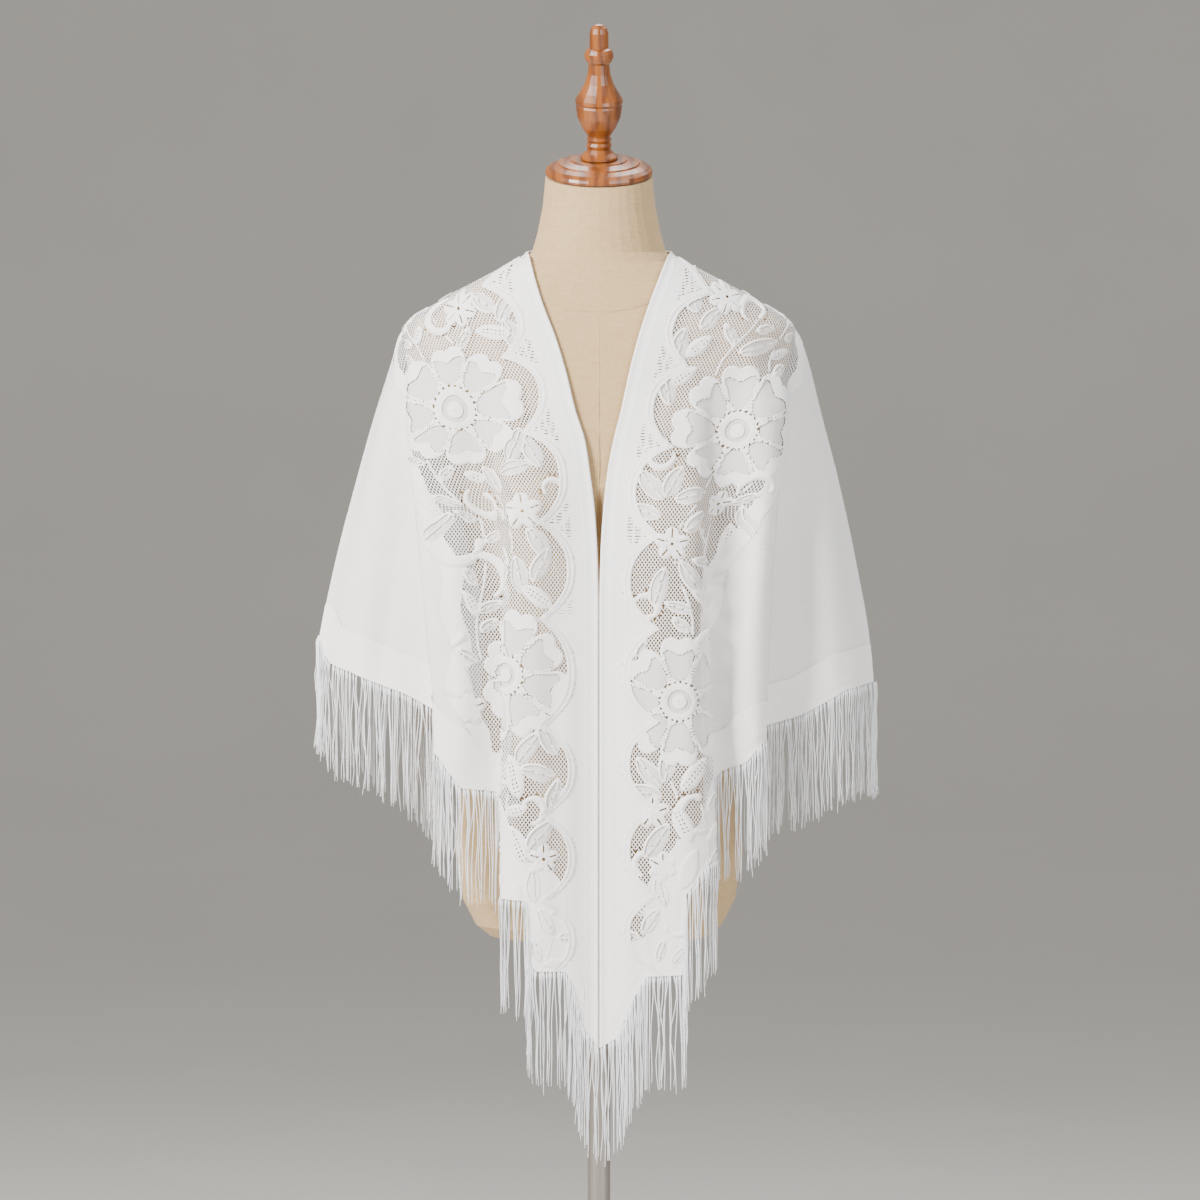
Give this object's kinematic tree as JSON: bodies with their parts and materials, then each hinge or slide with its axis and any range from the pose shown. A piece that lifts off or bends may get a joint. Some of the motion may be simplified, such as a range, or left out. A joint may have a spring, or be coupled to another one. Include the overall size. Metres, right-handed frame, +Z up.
{
  "type": "lace shawl on dress form stand",
  "caption": "Triangular fringed floral lace shawl worn open over a limbless linen dress form with turned wood neck cap, on a pole and round base.",
  "frame": {"origin": "middle of the base disc's underside, where the stand meets the floor", "axes": "+Z up along the pole, -Y the way the open front of the shawl faces, +X to the right seen from the front"},
  "size_m": [0.5667, 0.3584, 1.5898],
  "materials": {
    "white_lace": "matt knitted lace",
    "lace_edge": "matt knitted edge",
    "white_fringe": "silky strands",
    "beige_linen": "matt linen",
    "varnished_wood": "gloss varnish",
    "pole_metal": "satin"
  },
  "bodies": {
    "root": {"form_torso": "beige_linen", "neck_cap": "varnished_wood", "finial": "varnished_wood", "pole": "pole_metal", "base_disc": "pole_metal", "left_front": "white_lace", "right_front": "white_lace", "back": "white_lace", "left_edge_band": "lace_edge", "right_edge_band": "lace_edge", "left_fringe_low": "white_fringe", "left_fringe_high": "white_fringe", "left_fringe_fold": "white_fringe", "left_fringe_sleeve": "white_fringe", "right_fringe_low": "white_fringe", "right_fringe_high": "white_fringe", "right_fringe_fold": "white_fringe", "right_fringe_sleeve": "white_fringe", "back_fringe_left": "white_fringe", "back_fringe_right": "white_fringe"}
  },
  "joints": []
}
